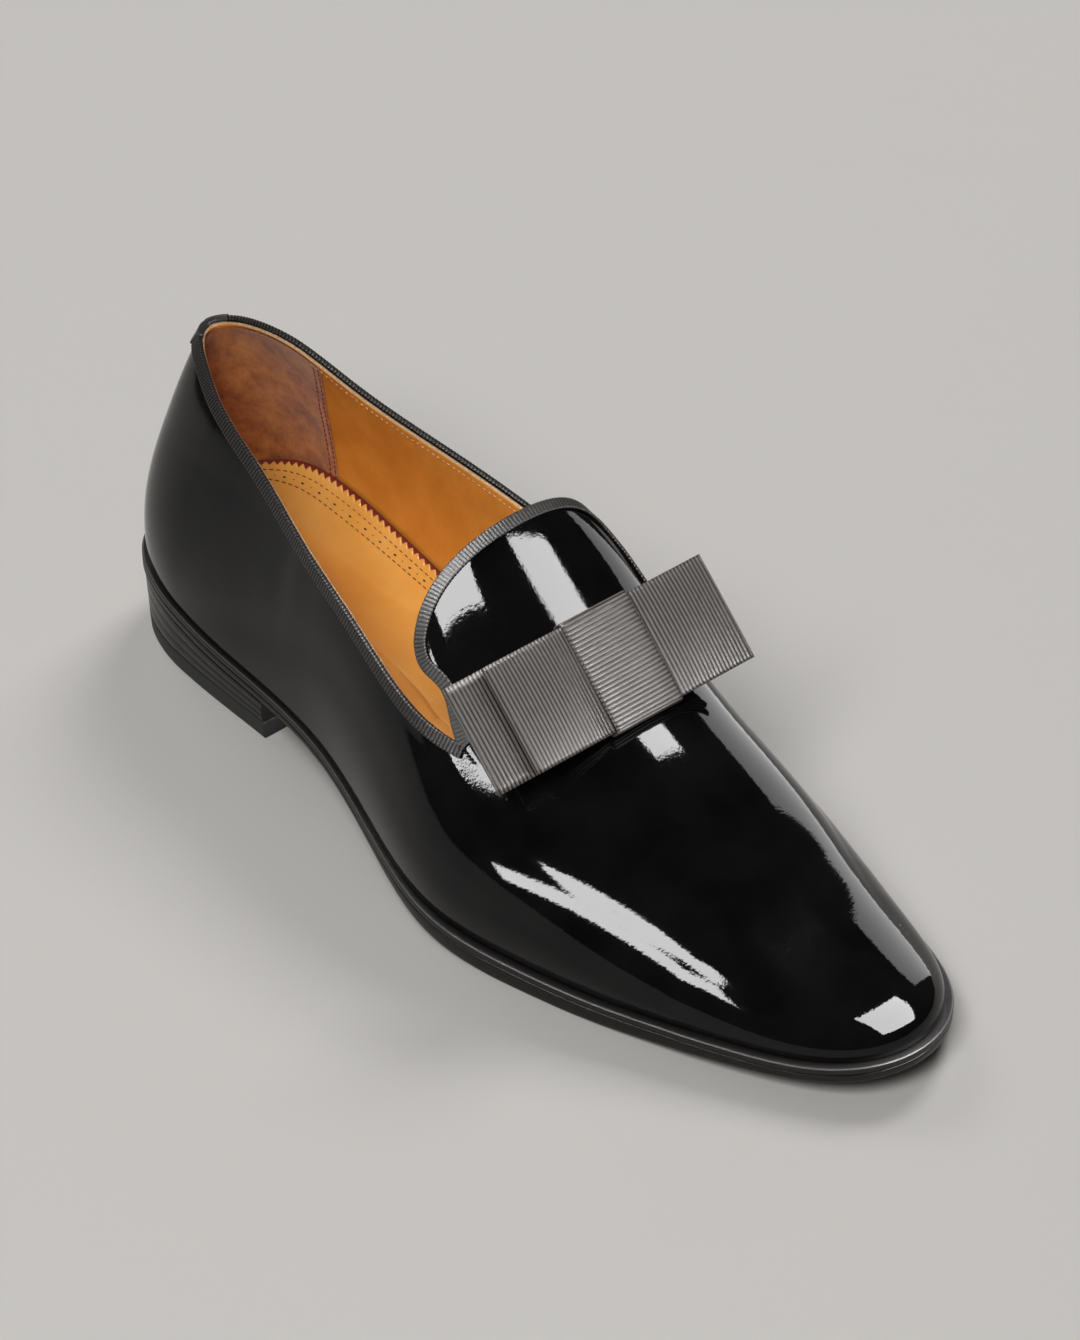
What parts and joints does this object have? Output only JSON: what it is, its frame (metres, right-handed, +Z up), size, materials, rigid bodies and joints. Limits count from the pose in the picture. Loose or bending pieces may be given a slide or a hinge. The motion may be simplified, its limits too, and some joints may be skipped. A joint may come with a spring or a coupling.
{
  "type": "opera pump",
  "caption": "Right shoe of a pair of black patent opera pumps: low heel, welted sole, raised tongue and a flat double ribbon bow.",
  "frame": {"origin": "centre of the bounding box in plan, on the floor under the heel and the ball", "axes": "+Z up, toe toward -Y, outer side of the foot toward -X"},
  "size_m": [0.0986, 0.302, 0.0968],
  "materials": {
    "patent": "gloss",
    "ribbon": "matte",
    "binding": "matte",
    "tab": "satin",
    "lining": "satin",
    "sole": "satin",
    "top_piece": "matte"
  },
  "bodies": {
    "root": {"upper": "patent", "outsole": "sole", "welt": "sole", "insole": "lining", "heel_stack": "sole", "heel_top_piece": "top_piece", "collar_binding": "binding", "tongue_binding": "binding", "heel_tab": "tab", "bow_upper_loops": "ribbon", "bow_lower_loops": "ribbon", "bow_band": "ribbon"}
  },
  "joints": []
}
